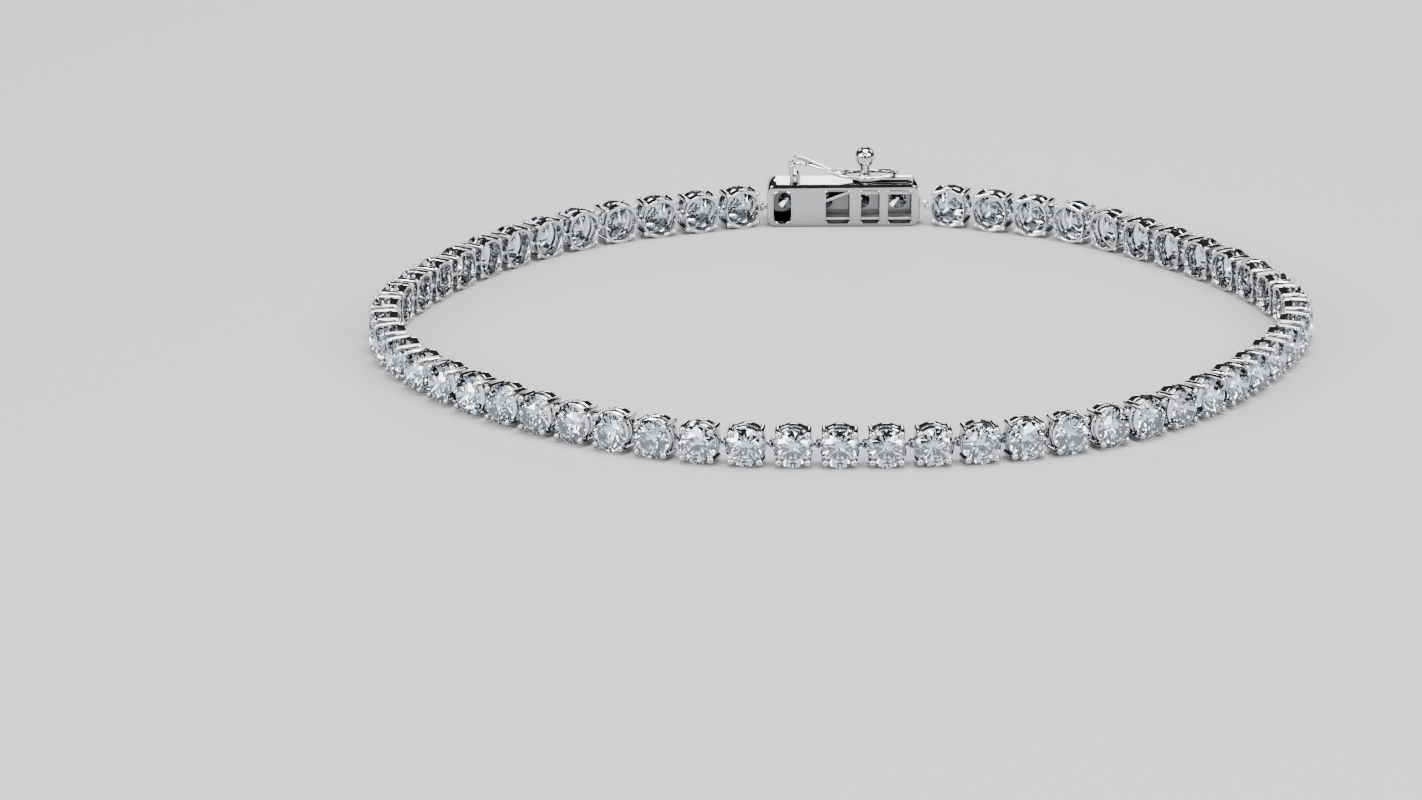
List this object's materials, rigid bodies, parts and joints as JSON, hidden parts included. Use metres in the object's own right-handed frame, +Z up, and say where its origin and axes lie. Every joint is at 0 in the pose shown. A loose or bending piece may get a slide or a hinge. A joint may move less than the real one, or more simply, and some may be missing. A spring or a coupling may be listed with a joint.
{
  "type": "tennis bracelet",
  "caption": "Flexible line bracelet of round brilliants in four-claw baskets, closed by a box clasp with a push tongue and a figure-8 safety catch, standing on its edge.",
  "frame": {"origin": "under the middle of the bracelet's outline, on the surface it stands on", "axes": "+Z up across the row; +X along the loop's longest side, from the clasp's catch end to its tongue end; +Y to the clasp at the back"},
  "size_m": [0.0626, 0.0574, 0.0054],
  "materials": {
    "white_gold_row": "polished, set with clear brilliants",
    "white_gold": "polished",
    "spring_gold": "fine satin",
    "bright_wire": "polished",
    "clear_stone": "faceted and polished"
  },
  "bodies": {
    "bracelet": {"chain_right": "white_gold_row", "chain_left": "white_gold_row", "clasp_box": "white_gold", "clasp_stone_1": "clear_stone", "clasp_stone_2": "clear_stone", "clasp_stone_3": "clear_stone", "clasp_stone_4": "clear_stone", "clasp_tongue": "spring_gold"},
    "thumb": {"thumb_piece": "spring_gold"},
    "catch": {"safety_catch": "bright_wire"}
  },
  "joints": [
    {"name": "thumb_press", "type": "hinge", "parent": "bracelet", "child": "thumb", "pos_m": [-0.00264, 0.0265, 0.00085], "axis": [-0.0268, 0.9996, 0], "range_deg": [0, 3.2], "stiffness_Nm_per_rad": 0.02},
    {"name": "catch_swing", "type": "hinge", "parent": "bracelet", "child": "catch", "pos_m": [-0.00314, 0.02649, 0.00335], "axis": [0.0268, -0.9996, 0], "range_deg": [0, 80]}
  ]
}
